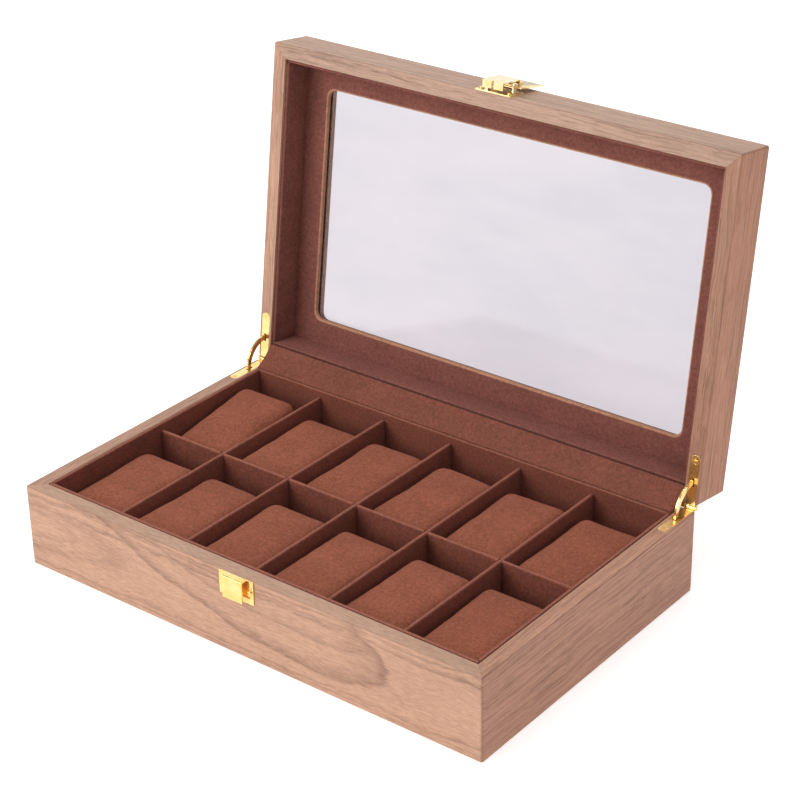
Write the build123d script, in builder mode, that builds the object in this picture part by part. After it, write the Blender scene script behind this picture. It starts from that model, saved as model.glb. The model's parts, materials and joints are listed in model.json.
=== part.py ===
from build123d import *
import os
from math import copysign, radians, tan

# Watch box for twelve watches, lid open. Millimetres, +X right, +Y back, +Z up.
# The origin is the centre of the underside, so the box stands on z = 0.
# The lid's pieces are made as they stand with the lid shut, then turned open about the hinge.

# Overall size
WIDTH = 320.0
DEPTH = 200.0
BASE_HEIGHT = 51.0
LID_HEIGHT = 29.0
WALL = 9.0
CORNER_RADIUS = 1.5
EDGE_RADIUS = 0.8
INNER_WIDTH = WIDTH - 2 * WALL
INNER_DEPTH = DEPTH - 2 * WALL
FRONT = -DEPTH / 2
BACK = DEPTH / 2
GAP = 0.1
MITRE_OVERSHOOT = 5.0
MITRE_REACH = 20.0

# Hinge axis, along X, and how far the lid opens
OPEN_ANGLE = 98.0
AXIS_Y = BACK + 1.6
AXIS_RISE = 0.7
AXIS_Z = BASE_HEIGHT + AXIS_RISE
HINGE_AXIS = Axis((0, AXIS_Y, AXIS_Z), (1, 0, 0))

# Lining of the base
BOTTOM_THICKNESS = 4.0
LINING_THICKNESS = 1.2
LINER_GAP = 0.4
LINER_THICKNESS = 2.2
LINER_RISE = 0.5
LINER_ROUND = 0.88
LINER_INSET = LINER_GAP + LINER_THICKNESS
CELL_WIDTH = INNER_WIDTH - 2 * LINER_INSET
CELL_DEPTH = INNER_DEPTH - 2 * LINER_INSET
FLOOR = BOTTOM_THICKNESS + LINING_THICKNESS
COLUMNS = 6
DIVIDER_THICKNESS = 2.4
DIVIDER_TOP = BASE_HEIGHT - 3.7
DIVIDER_ROUND = 0.9
COLUMN_PITCH = (CELL_WIDTH + DIVIDER_THICKNESS) / COLUMNS

# Watch pillows
PILLOW_WIDTH = 44.4
PILLOW_LENGTH = 72.4
PILLOW_HEIGHT = 37.6
PILLOW_CORNER = 6.0
PILLOW_ROUND = 4.0
PILLOW_FRONT_GAP = 0.8
PROPPED_FRONT_GAP = 4.5
PROPPED_TILT = 7.0

# Lid
TOP_THICKNESS = 5.5
GLASS_THICKNESS = 2.0
GLASS_LAP = 5.0
WINDOW_WIDTH = 266.0
WINDOW_DEPTH = 150.0
WINDOW_RADIUS = 5.0
MAT_THICKNESS = 2.5
LID_LINING_THICKNESS = 2.0
LID_LINING_START = 1.5
TOP_UNDERSIDE = BASE_HEIGHT + LID_HEIGHT - TOP_THICKNESS
MAT_UNDERSIDE = TOP_UNDERSIDE - MAT_THICKNESS

# Quadrant hinges, let into the rims of the side walls
HINGE_X = INNER_WIDTH / 2 + WALL / 2
LEAF_WIDTH = 6.0
LEAF_LENGTH = 31.0
LEAF_THICKNESS = 1.2
LEAF_SINK = 0.05
LEAF_SCREW_INSET = 3.0
KNUCKLE_RADIUS = 1.6
KNUCKLE_WIDTH = 11.0
KNUCKLE_X = HINGE_X - 1.4
KNUCKLE_PIN_RADIUS = 0.7
PIN_OVERHANG = 0.2
MIDDLE_KNUCKLE = 2.0
RUNNING_GAP = 0.05
ARM_RADIUS = 16.4
ARM_WIDTH = 3.3
ARM_TIP_WIDTH = 2.0
ARM_THICKNESS = 1.2
ARM_OVERRUN = 13.5
ARM_HEAD_RADIUS = 1.0
ARM_HEAD_WIDTH = 2.6
SLOT_WIDTH = 1.8
SLOT_NEAR = 12.3
SLOT_FAR = 17.0
POCKET_WIDTH = 3.4
POCKET_NEAR = 5.0
POCKET_FAR = 17.4
POCKET_DEPTH = 15.8

# Fabric gusset between the back liner and the lid
GUSSET_LENGTH = 301.4
GUSSET_THICKNESS = 0.8
GUSSET_FOOT = (BACK - 10.3, BASE_HEIGHT + 1.1)
GUSSET_HEAD = (BACK + 3.5, BASE_HEIGHT + 12.4)
GUSSET_REBATE = 1.0
GUSSET_END_GAP = 0.3
REBATE_LIP = 1.0

# Screws
SCREW_RADIUS = 0.8
SCREW_HEAD_RADIUS = 1.6
LEAF_SCREW_HEAD = 2.2
LEAF_SCREW_ANGLE = 102
SCREW_LENGTH = 7.0
PILOT_DEPTH = 8.0
SCREW_DOME = 0.9
DRIVER_SLOT = 0.4
CROSS_LENGTH = 2.6

# Latch, in heights above the rim and distances out from the front face
PLATE_WIDTH = 24.0
PLATE_THICKNESS = 0.8
THROUGH_CUT = 3.2
CATCH_WIDTH = 14.0
STRIKE_TOP = -0.4
STRIKE_BOTTOM = -14.5
STRIKE_SCREW_HEIGHT = -7.4
AWNING_OUT = 4.3
AWNING_BOTTOM = -13.7
LATCH_PLATE_BOTTOM = 0.4
LATCH_PLATE_TOP = 14.4
LATCH_SCREW_HEIGHT = 3.6
PLATE_SCREW_X = 9.6
LEVER_PIN = (9.0, 4.95)
LEVER_BARREL = 1.2
LEVER_PIN_RADIUS = 0.6
LEVER_END = 33.5
LEVER_SLOPE = 4.0
LEVER_FACE_DROP = 0.75
EAR_INNER = 8.2
EAR_THICKNESS = 1.0
EAR_RADIUS = 1.7
FLANGE_RISE = 1.1
LUG_INNER = 7.2
LUG_RADIUS = 1.1
CLAW_PIN = (16.3, 5.8)
CLAW_BARREL = 1.3
CLAW_PIN_RADIUS = 0.55
CLAW_REACH = 16.4
CLAW_LIP_DEPTH = 4.4
CLAW_SLIT = 1.4

os.makedirs("parts", exist_ok=True)


def finish(piece, name, on_lid=False):
    """Label a piece and write it. Pieces of the lid are turned to the open position first."""
    placed = piece.rotate(HINGE_AXIS, -OPEN_ANGLE) if on_lid else piece
    placed.label = name
    export_step(placed, f"parts/{name}.step")


def mitre_outline(side):
    """Plan of the wedge that holds one wall of a frame, bounded by the 45 degree mitres."""
    x_out, y_out = WIDTH / 2 + MITRE_OVERSHOOT, DEPTH / 2 + MITRE_OVERSHOOT
    x_in, y_in = WIDTH / 2 - MITRE_REACH, DEPTH / 2 - MITRE_REACH
    return {
        "front": [(-x_out, -y_out), (x_out, -y_out), (x_in, -y_in), (-x_in, -y_in)],
        "back": [(-x_out, y_out), (x_out, y_out), (x_in, y_in), (-x_in, y_in)],
        "left": [(-x_out, -y_out), (-x_in, -y_in), (-x_in, y_in), (-x_out, y_out)],
        "right": [(x_out, -y_out), (x_in, -y_in), (x_in, y_in), (x_out, y_out)],
    }[side]


def write_walls(frame, prefix, on_lid):
    """Cut a frame of walls at its mitres and write the four panels."""
    for side in ("front", "back", "left", "right"):
        with BuildPart() as panel:
            add(frame.part)
            with BuildSketch(Plane.XY):
                with BuildLine():
                    Polyline(*mitre_outline(side), close=True)
                make_face()
            extrude(amount=BASE_HEIGHT + LID_HEIGHT, mode=Mode.INTERSECT)
        finish(panel.part, f"{prefix}_{side}_panel", on_lid)


def hinge_cuts(rim_side):
    """Cut the seats of both hinges into a frame: leaf mortise, arm pocket, knuckle and screw."""
    seat = LEAF_THICKNESS + LEAF_SINK
    with Locations((-HINGE_X, 0, 0), (HINGE_X, 0, 0)):
        straight = LEAF_LENGTH - LEAF_WIDTH / 2
        with Locations((0, AXIS_Y - straight / 2, BASE_HEIGHT + rim_side * seat / 2)):
            Box(LEAF_WIDTH + 2 * GAP, straight, seat, mode=Mode.SUBTRACT)
        with Locations((0, AXIS_Y - straight, BASE_HEIGHT + rim_side * seat / 2)):
            Cylinder(LEAF_WIDTH / 2 + GAP, seat, mode=Mode.SUBTRACT)
        depth = POCKET_DEPTH + rim_side * AXIS_RISE
        middle = AXIS_Y - (POCKET_NEAR + POCKET_FAR) / 2
        with Locations((0, middle, BASE_HEIGHT + rim_side * depth / 2)):
            Box(POCKET_WIDTH, POCKET_FAR - POCKET_NEAR, depth, mode=Mode.SUBTRACT)
        with Locations((0, AXIS_Y - LEAF_LENGTH + LEAF_SCREW_INSET, BASE_HEIGHT)):
            Cylinder(SCREW_RADIUS + GAP, 2 * PILOT_DEPTH, mode=Mode.SUBTRACT)
    with Locations((-KNUCKLE_X, AXIS_Y, AXIS_Z), (KNUCKLE_X, AXIS_Y, AXIS_Z)):
        Cylinder(KNUCKLE_RADIUS + 2 * GAP, KNUCKLE_WIDTH + 2 * GAP,
                 rotation=(0, 90, 0), mode=Mode.SUBTRACT)


def plate_screw_cuts(height):
    """Pilot holes for the two screws of the strike or of the latch plate."""
    for x in (-PLATE_SCREW_X, PLATE_SCREW_X):
        with Locations((x, FRONT, BASE_HEIGHT + height)):
            Cylinder(SCREW_RADIUS + GAP, 2 * PILOT_DEPTH,
                     rotation=(90, 0, 0), mode=Mode.SUBTRACT)


def gusset_rebate(rim_side):
    """The back rim is lowered where the folded gusset lies between base and lid."""
    middle = BACK - REBATE_LIP - WALL / 2
    length = GUSSET_LENGTH + 2 * GUSSET_END_GAP
    with Locations((0, middle, BASE_HEIGHT + rim_side * GUSSET_REBATE / 2)):
        Box(length, WALL, GUSSET_REBATE, mode=Mode.SUBTRACT)


def write_box_walls():
    """The wooden walls of the base and of the lid, which meet at the rims."""
    frames = {
        "base": (0, BASE_HEIGHT, -1, STRIKE_SCREW_HEIGHT),
        "lid": (BASE_HEIGHT, LID_HEIGHT, 1, LATCH_SCREW_HEIGHT),
    }
    for owner, (low, height, rim_side, screw_height) in frames.items():
        with BuildPart() as frame:
            with BuildSketch(Plane.XY.offset(low)):
                RectangleRounded(WIDTH, DEPTH, CORNER_RADIUS)
                Rectangle(INNER_WIDTH, INNER_DEPTH, mode=Mode.SUBTRACT)
            extrude(amount=height)
            ends = frame.faces().sort_by(Axis.Z)
            fillet(ends[0].outer_wire().edges() + ends[-1].outer_wire().edges(), EDGE_RADIUS)
            hinge_cuts(rim_side)
            gusset_rebate(rim_side)
            plate_screw_cuts(screw_height)
        write_walls(frame, owner, on_lid=owner == "lid")


def write_bottom():
    """The bottom board and the lining on it."""
    with BuildPart() as bottom_panel:
        with BuildSketch(Plane.XY):
            Rectangle(INNER_WIDTH, INNER_DEPTH)
        extrude(amount=BOTTOM_THICKNESS)
    finish(bottom_panel.part, "bottom_panel")

    with BuildPart() as floor_lining:
        with BuildSketch(Plane.XY.offset(BOTTOM_THICKNESS)):
            Rectangle(CELL_WIDTH - GAP, CELL_DEPTH - GAP)
        extrude(amount=LINING_THICKNESS)
    finish(floor_lining.part, "floor_lining")


def write_base_liners():
    """Fabric-wrapped boards inside the walls, with rounded tops just above the rim."""
    height = BASE_HEIGHT + LINER_RISE - BOTTOM_THICKNESS
    long_y = INNER_DEPTH / 2 - LINER_GAP - LINER_THICKNESS / 2
    short_x = INNER_WIDTH / 2 - LINER_GAP - LINER_THICKNESS / 2
    boards = {
        "front_liner": (0, -long_y, INNER_WIDTH - 2 * LINER_GAP, LINER_THICKNESS),
        "back_liner": (0, long_y, INNER_WIDTH - 2 * LINER_GAP, LINER_THICKNESS),
        "left_liner": (-short_x, 0, LINER_THICKNESS, CELL_DEPTH),
        "right_liner": (short_x, 0, LINER_THICKNESS, CELL_DEPTH),
    }
    for name, (x, y, width, depth) in boards.items():
        along = Axis.X if width > depth else Axis.Y
        with BuildPart() as liner:
            with BuildSketch(Plane((x, y, BOTTOM_THICKNESS))):
                Rectangle(width, depth)
            extrude(amount=height)
            fillet(liner.edges().filter_by(along).group_by(Axis.Z)[-1], LINER_ROUND)
        finish(liner.part, name)


def column_line(number):
    """X of a cross divider, numbered from 1 at the left."""
    return COLUMN_PITCH * (number - COLUMNS / 2)


def write_dividers():
    """One long and five cross dividers, halved into each other."""
    half_height = (FLOOR + DIVIDER_TOP) / 2
    slot = DIVIDER_THICKNESS + GAP
    crossings = [(column_line(n), 0) for n in range(1, COLUMNS)]

    with BuildPart() as long_divider:
        with BuildSketch(Plane.XY.offset(FLOOR)):
            Rectangle(CELL_WIDTH - GAP, DIVIDER_THICKNESS)
        extrude(amount=DIVIDER_TOP - FLOOR)
        fillet(long_divider.edges().filter_by(Axis.X).group_by(Axis.Z)[-1], DIVIDER_ROUND)
        with BuildSketch(Plane.XY.offset(half_height)):
            with Locations(*crossings):
                Rectangle(slot, 2 * DIVIDER_THICKNESS)
        extrude(amount=DIVIDER_TOP, mode=Mode.SUBTRACT)
    finish(long_divider.part, "long_divider")

    for number in range(1, COLUMNS):
        with BuildPart() as cross_divider:
            with BuildSketch(Plane((column_line(number), 0, FLOOR))):
                Rectangle(DIVIDER_THICKNESS, CELL_DEPTH - GAP)
            extrude(amount=DIVIDER_TOP - FLOOR)
            fillet(cross_divider.edges().filter_by(Axis.Y).group_by(Axis.Z)[-1], DIVIDER_ROUND)
            with BuildSketch(Plane((column_line(number), 0, FLOOR))):
                Rectangle(2 * DIVIDER_THICKNESS, slot)
            extrude(amount=half_height - FLOOR, mode=Mode.SUBTRACT)
        finish(cross_divider.part, f"cross_divider_{number}")


def write_pillows():
    """Twelve watch pillows, each near the front of its cell. The back left one is propped up."""
    with BuildPart() as pillow:
        with BuildSketch(Plane.XY):
            with Locations((0, PILLOW_LENGTH / 2)):
                RectangleRounded(PILLOW_WIDTH, PILLOW_LENGTH, PILLOW_CORNER)
        extrude(amount=PILLOW_HEIGHT)
        ends = pillow.faces().sort_by(Axis.Z)
        fillet(ends[0].edges() + ends[-1].edges(), PILLOW_ROUND)

    rows = {"front": -CELL_DEPTH / 2, "back": DIVIDER_THICKNESS / 2}
    for row, row_front in rows.items():
        for column in range(1, COLUMNS + 1):
            propped = (row, column) == ("back", 1)
            tilt = PROPPED_TILT if propped else 0
            x = column_line(column) - COLUMN_PITCH / 2
            y = row_front + (PROPPED_FRONT_GAP if propped else PILLOW_FRONT_GAP)
            placed = pillow.part.moved(Location((x, y, FLOOR + GAP), (tilt, 0, 0)))
            finish(placed, f"watch_pillow_{row}_{column}")


def window_outline():
    """The rounded window of the lid, in the sketch that is being drawn."""
    return RectangleRounded(WINDOW_WIDTH, WINDOW_DEPTH, WINDOW_RADIUS, mode=Mode.SUBTRACT)


def write_lid_top():
    """The top panel with its window, the glass in a rebate below it, and the mat under both."""
    glass_width = WINDOW_WIDTH + 2 * GLASS_LAP
    glass_depth = WINDOW_DEPTH + 2 * GLASS_LAP
    with BuildPart() as top_panel:
        with BuildSketch(Plane.XY.offset(TOP_UNDERSIDE)):
            Rectangle(INNER_WIDTH, INNER_DEPTH)
            window_outline()
        extrude(amount=TOP_THICKNESS)
        with BuildSketch(Plane.XY.offset(TOP_UNDERSIDE)):
            Rectangle(glass_width + 2 * GAP, glass_depth + 2 * GAP)
        extrude(amount=GLASS_THICKNESS + GAP, mode=Mode.SUBTRACT)
    finish(top_panel.part, "lid_top_panel", on_lid=True)

    with BuildPart() as glass:
        with BuildSketch(Plane.XY.offset(TOP_UNDERSIDE)):
            Rectangle(glass_width, glass_depth)
        extrude(amount=GLASS_THICKNESS)
    finish(glass.part, "lid_glass", on_lid=True)

    with BuildPart() as mat:
        with BuildSketch(Plane.XY.offset(MAT_UNDERSIDE)):
            Rectangle(INNER_WIDTH - 2 * GAP, INNER_DEPTH - 2 * GAP)
            window_outline()
        extrude(amount=MAT_THICKNESS)
    finish(mat.part, "lid_mat", on_lid=True)


def write_lid_lining():
    """Fabric-wrapped boards inside the lid's walls, starting just inside the rim."""
    bottom = BASE_HEIGHT + LID_LINING_START
    short = INNER_DEPTH - 2 * GAP - 2 * LID_LINING_THICKNESS
    long_y = INNER_DEPTH / 2 - GAP - LID_LINING_THICKNESS / 2
    short_x = INNER_WIDTH / 2 - GAP - LID_LINING_THICKNESS / 2
    boards = {
        "front": (0, -long_y, INNER_WIDTH - 2 * GAP, LID_LINING_THICKNESS),
        "back": (0, long_y, INNER_WIDTH - 2 * GAP, LID_LINING_THICKNESS),
        "left": (-short_x, 0, LID_LINING_THICKNESS, short),
        "right": (short_x, 0, LID_LINING_THICKNESS, short),
    }
    for side, (x, y, width, depth) in boards.items():
        with BuildPart() as lining:
            with BuildSketch(Plane((x, y, bottom))):
                Rectangle(width, depth)
            extrude(amount=MAT_UNDERSIDE - bottom)
        finish(lining.part, f"lid_lining_{side}", on_lid=True)


def knuckles(owner):
    """A leaf's share of the knuckles, at the current location: two outer ones, or the middle one."""
    outer_width = (KNUCKLE_WIDTH - MIDDLE_KNUCKLE) / 2
    outer_x = (MIDDLE_KNUCKLE + outer_width) / 2
    cleared = KNUCKLE_RADIUS + GAP
    Cylinder(KNUCKLE_RADIUS, KNUCKLE_WIDTH, rotation=(0, 90, 0))
    if owner == "base":
        Cylinder(cleared, MIDDLE_KNUCKLE + 2 * RUNNING_GAP,
                 rotation=(0, 90, 0), mode=Mode.SUBTRACT)
    else:
        with Locations((-outer_x, 0, 0), (outer_x, 0, 0)):
            Cylinder(cleared, outer_width, rotation=(0, 90, 0), mode=Mode.SUBTRACT)
    Cylinder(KNUCKLE_PIN_RADIUS + RUNNING_GAP, 2 * KNUCKLE_WIDTH,
             rotation=(0, 90, 0), mode=Mode.SUBTRACT)


def write_leaf(name, owner, x, low, screw_turn):
    """One hinge leaf: a strip with a rounded end, a slot for the arm, knuckles and a screw hole."""
    screw_y = AXIS_Y - LEAF_LENGTH + LEAF_SCREW_INSET
    screw_z = low if screw_turn else low + LEAF_THICKNESS
    with BuildPart() as leaf:
        with BuildSketch(Plane((x, AXIS_Y, low))):
            with Locations((0, -(LEAF_LENGTH - LEAF_WIDTH / 2) / 2)):
                Rectangle(LEAF_WIDTH, LEAF_LENGTH - LEAF_WIDTH / 2)
            with Locations((0, LEAF_WIDTH / 2 - LEAF_LENGTH)):
                Circle(LEAF_WIDTH / 2)
            with Locations((0, -(SLOT_NEAR + SLOT_FAR) / 2)):
                Rectangle(SLOT_WIDTH, SLOT_FAR - SLOT_NEAR, mode=Mode.SUBTRACT)
        extrude(amount=LEAF_THICKNESS)
        with Locations((copysign(KNUCKLE_X, x), AXIS_Y, AXIS_Z)):
            knuckles(owner)
        with Locations(Location((x, screw_y, screw_z), (screw_turn, 0, 0))):
            CounterSinkHole(SCREW_RADIUS + GAP, LEAF_SCREW_HEAD + GAP,
                            counter_sink_angle=LEAF_SCREW_ANGLE)
    finish(leaf.part, name, on_lid=owner == "lid")


def write_leaves():
    """The four leaves of the quadrant hinges. The lid's are screwed on from below."""
    for side, x in (("left", -HINGE_X), ("right", HINGE_X)):
        base_low = BASE_HEIGHT - LEAF_SINK - LEAF_THICKNESS
        write_leaf(f"base_leaf_{side}", "base", x, base_low, screw_turn=0)
        write_leaf(f"lid_leaf_{side}", "lid", x, BASE_HEIGHT + LEAF_SINK, screw_turn=180)


def write_hinge_pins():
    """One pin through the knuckles of each hinge."""
    with BuildPart() as pins:
        with Locations((-KNUCKLE_X, AXIS_Y, AXIS_Z), (KNUCKLE_X, AXIS_Y, AXIS_Z)):
            Cylinder(KNUCKLE_PIN_RADIUS, KNUCKLE_WIDTH + 2 * PIN_OVERHANG, rotation=(0, 90, 0))
    finish(pins.part, "hinge_pins")


def write_stay_arms():
    """Crescent arms that slide through both leaves and stop the lid with their heads."""
    first = 180 + ARM_OVERRUN
    last = 180 - OPEN_ANGLE - ARM_OVERRUN
    middle = (first + last) / 2
    for side, x in (("left", -HINGE_X), ("right", HINGE_X)):
        centre = Plane(origin=(x, AXIS_Y, AXIS_Z), x_dir=(0, 1, 0), z_dir=(1, 0, 0))

        def at(radius, angle):
            return Vector(radius, 0).rotate(Axis.Z, angle)

        with BuildPart() as arm:
            with BuildSketch(centre):
                with BuildLine():
                    tip = ARM_RADIUS - ARM_TIP_WIDTH
                    outer = ThreePointArc(at(ARM_RADIUS, first), at(ARM_RADIUS, middle),
                                          at(ARM_RADIUS, last))
                    inner = ThreePointArc(at(tip, first), at(ARM_RADIUS - ARM_WIDTH, middle),
                                          at(tip, last))
                    Line(outer @ 0, inner @ 0)
                    Line(outer @ 1, inner @ 1)
                make_face()
            extrude(amount=ARM_THICKNESS / 2, both=True)
            with BuildSketch(centre):
                with Locations(at(ARM_RADIUS - ARM_HEAD_RADIUS, first),
                               at(ARM_RADIUS - ARM_HEAD_RADIUS, last)):
                    Circle(ARM_HEAD_RADIUS)
            extrude(amount=ARM_HEAD_WIDTH / 2, both=True)
        finish(arm.part, f"stay_arm_{side}")


def write_gusset():
    """The fabric strip that bridges the back of the base and the lid."""
    foot, head = Vector(*GUSSET_FOOT), Vector(*GUSSET_HEAD)
    half = (head - foot).normalized().rotate(Axis.Z, 90) * (GUSSET_THICKNESS / 2)
    with BuildPart() as gusset:
        with BuildSketch(Plane.YZ):
            with BuildLine():
                Polyline(foot - half, head - half, head + half, foot + half, close=True)
            make_face()
        extrude(amount=GUSSET_LENGTH / 2, both=True)
    finish(gusset.part, "gusset_strip")


def leaf_screw():
    """A countersunk cross-head screw at the current location, its head flush and up."""
    top = (Align.CENTER, Align.CENTER, Align.MAX)
    sink = (LEAF_SCREW_HEAD - SCREW_RADIUS) / tan(radians(LEAF_SCREW_ANGLE / 2))
    Cylinder(SCREW_RADIUS, SCREW_LENGTH, align=top)
    Cone(SCREW_RADIUS, LEAF_SCREW_HEAD, sink, align=top)
    Box(CROSS_LENGTH, DRIVER_SLOT, DRIVER_SLOT, align=top, mode=Mode.SUBTRACT)
    Box(DRIVER_SLOT, CROSS_LENGTH, DRIVER_SLOT, align=top, mode=Mode.SUBTRACT)


def plate_screw():
    """A cheese-headed screw at the current location, its head standing on the plate."""
    head_top = (Align.CENTER, Align.CENTER, Align.MIN)
    Cylinder(SCREW_RADIUS, SCREW_LENGTH, align=(Align.CENTER, Align.CENTER, Align.MAX))
    Cylinder(SCREW_HEAD_RADIUS, SCREW_DOME, align=head_top)
    with Locations((0, 0, SCREW_DOME - DRIVER_SLOT)):
        Box(2 * SCREW_HEAD_RADIUS, DRIVER_SLOT, DRIVER_SLOT, align=head_top, mode=Mode.SUBTRACT)


def write_screws():
    """Screws of the leaves, the strike and the latch plate, one node for each group."""
    screw_y = AXIS_Y - LEAF_LENGTH + LEAF_SCREW_INSET
    for owner, z, turn in (("base", BASE_HEIGHT - LEAF_SINK, 0),
                           ("lid", BASE_HEIGHT + LEAF_SINK, 180)):
        with BuildPart() as screws:
            for x in (-HINGE_X, HINGE_X):
                with Locations(Location((x, screw_y, z), (turn, 0, 0))):
                    leaf_screw()
        finish(screws.part, f"{owner}_leaf_screws", on_lid=owner == "lid")

    face_y = FRONT - PLATE_THICKNESS
    for name, height, on_lid in (("strike_screws", STRIKE_SCREW_HEIGHT, False),
                                 ("latch_screws", LATCH_SCREW_HEIGHT, True)):
        with BuildPart() as screws:
            for x in (-PLATE_SCREW_X, PLATE_SCREW_X):
                with Locations(Location((x, face_y, BASE_HEIGHT + height), (90, 0, 0))):
                    plate_screw()
        finish(screws.part, name, on_lid)


def side_plane(x=0.0):
    """Plane of a latch profile: local X is height above the rim, local Y is out of the front."""
    return Plane(origin=(x, FRONT, BASE_HEIGHT), x_dir=(0, 0, 1), z_dir=(1, 0, 0))


def profile_bar(points, width, x=None):
    """A bar along X with a closed outline. It is centred, or starts at x and runs to the right."""
    with BuildSketch(side_plane(x or 0)) as outline:
        with BuildLine():
            Polyline(*points, close=True)
        make_face()
    if x is None:
        extrude(outline.sketch, amount=width / 2, both=True)
    else:
        extrude(outline.sketch, amount=width)


def plate_holes(height):
    """Clearance holes for the two screws of a plate."""
    for x in (-PLATE_SCREW_X, PLATE_SCREW_X):
        with Locations((x, FRONT, BASE_HEIGHT + height)):
            Cylinder(SCREW_RADIUS + GAP, THROUGH_CUT, rotation=(90, 0, 0), mode=Mode.SUBTRACT)


def pin_hole(pin, radius):
    """A running bore for a pin along X."""
    height, out = pin
    with Locations((0, FRONT - out, BASE_HEIGHT + height)):
        Cylinder(radius + RUNNING_GAP, 2 * PLATE_WIDTH, rotation=(0, 90, 0), mode=Mode.SUBTRACT)


def write_strike():
    """The strike on the base: a plate whose middle folds forward and down as a catch."""
    fold = STRIKE_TOP - PLATE_THICKNESS
    inner = AWNING_OUT - PLATE_THICKNESS
    with BuildPart() as strike:
        profile_bar([(STRIKE_BOTTOM, 0), (STRIKE_TOP, 0), (STRIKE_TOP, PLATE_THICKNESS),
                     (STRIKE_BOTTOM, PLATE_THICKNESS)], PLATE_WIDTH)
        profile_bar([(STRIKE_TOP, 0), (STRIKE_TOP, AWNING_OUT), (AWNING_BOTTOM, AWNING_OUT),
                     (AWNING_BOTTOM, inner), (fold, inner), (fold, 0)], CATCH_WIDTH)
        bend = strike.edges().filter_by(Axis.X).group_by(Axis.Y)[0].sort_by(Axis.Z)[-1]
        fillet(bend, PLATE_THICKNESS)
        plate_holes(STRIKE_SCREW_HEIGHT)
    finish(strike.part, "strike_plate")


def write_latch_plate():
    """The latch plate on the lid, with the two ears that carry the lever's pin."""
    pin_height, pin_out = LEVER_PIN
    with BuildPart() as plate:
        profile_bar([(LATCH_PLATE_BOTTOM, 0), (LATCH_PLATE_TOP, 0),
                     (LATCH_PLATE_TOP, PLATE_THICKNESS), (LATCH_PLATE_BOTTOM, PLATE_THICKNESS)],
                    PLATE_WIDTH)
        for x in (-EAR_INNER - EAR_THICKNESS, EAR_INNER):
            with BuildSketch(side_plane(x)):
                with Locations((pin_height, pin_out / 2)):
                    Rectangle(2 * EAR_RADIUS, pin_out)
                with Locations(LEVER_PIN):
                    Circle(EAR_RADIUS)
            extrude(amount=EAR_THICKNESS)
        pin_hole(LEVER_PIN, LEVER_PIN_RADIUS)
        plate_holes(LATCH_SCREW_HEIGHT)
    finish(plate.part, "latch_plate", on_lid=True)

    with BuildPart() as pin:
        with Locations((0, FRONT - pin_out, BASE_HEIGHT + pin_height)):
            length = 2 * (EAR_INNER + EAR_THICKNESS + GAP)
            Cylinder(LEVER_PIN_RADIUS, length, rotation=(0, 90, 0))
    finish(pin.part, "latch_pin", on_lid=True)


def lever_face(height):
    """Distance out of the lever's upper face, which slopes towards its tip."""
    pin_height, pin_out = LEVER_PIN
    fall = (height - pin_height) * Vector(1, 0).rotate(Axis.Z, LEVER_SLOPE).Y
    return pin_out - LEVER_FACE_DROP - fall


def lever_strip(start, end, rise_start=0.0, rise_end=0.0, sink=PLATE_THICKNESS):
    """Outline from below the lever's face to a given rise above it, between two heights."""
    return [(start, lever_face(start) - sink), (end, lever_face(end) - sink),
            (end, lever_face(end) + rise_end), (start, lever_face(start) + rise_start)]


def write_lever():
    """The lever, lying back over the lid: barrel, plate, side flanges and the claw's lugs."""
    pin_height = LEVER_PIN[0]
    claw_height, claw_out = CLAW_PIN
    heel = pin_height - LEVER_BARREL / 2
    start = pin_height + EAR_RADIUS
    barrel_width = 2 * (EAR_INNER - 2 * GAP)
    with BuildPart() as lever:
        with Locations((0, FRONT - LEVER_PIN[1], BASE_HEIGHT + pin_height)):
            Cylinder(LEVER_BARREL, barrel_width, rotation=(0, 90, 0))
        profile_bar(lever_strip(heel, start + EAR_RADIUS), barrel_width)
        profile_bar(lever_strip(start, LEVER_END), PLATE_WIDTH)
        for x in (-PLATE_WIDTH / 2, PLATE_WIDTH / 2 - PLATE_THICKNESS):
            flange = lever_strip(start, LEVER_END, FLANGE_RISE, GAP, sink=GAP)
            profile_bar(flange, PLATE_THICKNESS, x)
        foot = lever_face(claw_height) - 2 * GAP
        for x in (-LUG_INNER - PLATE_THICKNESS, LUG_INNER):
            profile_bar([(claw_height - LUG_RADIUS, claw_out), (claw_height + LUG_RADIUS, claw_out),
                         (claw_height + 2 * LUG_RADIUS, foot),
                         (claw_height - 2 * LUG_RADIUS, foot)], PLATE_THICKNESS, x)
            with Locations((x + PLATE_THICKNESS / 2, FRONT - claw_out, BASE_HEIGHT + claw_height)):
                Cylinder(LUG_RADIUS, PLATE_THICKNESS, rotation=(0, 90, 0))
        pin_hole(LEVER_PIN, LEVER_PIN_RADIUS)
        pin_hole(CLAW_PIN, CLAW_PIN_RADIUS)
    finish(lever.part, "latch_lever", on_lid=True)

    with BuildPart() as pin:
        with Locations((0, FRONT - claw_out, BASE_HEIGHT + claw_height)):
            length = 2 * (LUG_INNER + PLATE_THICKNESS + GAP)
            Cylinder(CLAW_PIN_RADIUS, length, rotation=(0, 90, 0))
    finish(pin.part, "claw_pin", on_lid=True)


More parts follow.
